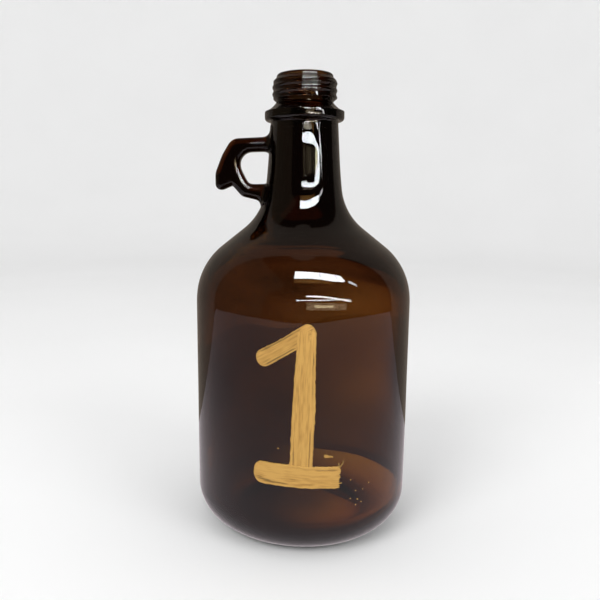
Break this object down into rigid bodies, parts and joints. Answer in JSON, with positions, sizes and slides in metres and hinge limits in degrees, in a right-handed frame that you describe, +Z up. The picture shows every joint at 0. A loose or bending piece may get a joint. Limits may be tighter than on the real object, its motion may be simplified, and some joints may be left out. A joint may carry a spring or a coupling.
{
  "type": "growler",
  "caption": "Amber glass growler jug with a threaded mouth, a transfer bead, a hooked finger loop on the neck and a hand-painted gold numeral on the front.",
  "frame": {"origin": "on the bottle's axis, on the plane of the bearing ring that it stands on", "axes": "+Z up along the bottle's axis, +X away from the finger loop, -Y out of the painted front"},
  "size_m": [0.13, 0.1307, 0.2705],
  "materials": {
    "amber_glass": "clear, glossy, dark amber",
    "gold_paint": "brushed satin gold paint"
  },
  "bodies": {
    "root": {"glass_jug": "amber_glass", "numeral_flag_stroke": "gold_paint", "numeral_stem_stroke": "gold_paint", "numeral_foot_stroke": "gold_paint", "paint_smear": "gold_paint", "paint_fleck": "gold_paint", "paint_drop_1": "gold_paint", "paint_drop_2": "gold_paint", "paint_drop_3": "gold_paint", "paint_drop_4": "gold_paint", "paint_drop_5": "gold_paint", "paint_drop_6": "gold_paint", "paint_drop_7": "gold_paint", "paint_drop_8": "gold_paint"}
  },
  "joints": []
}
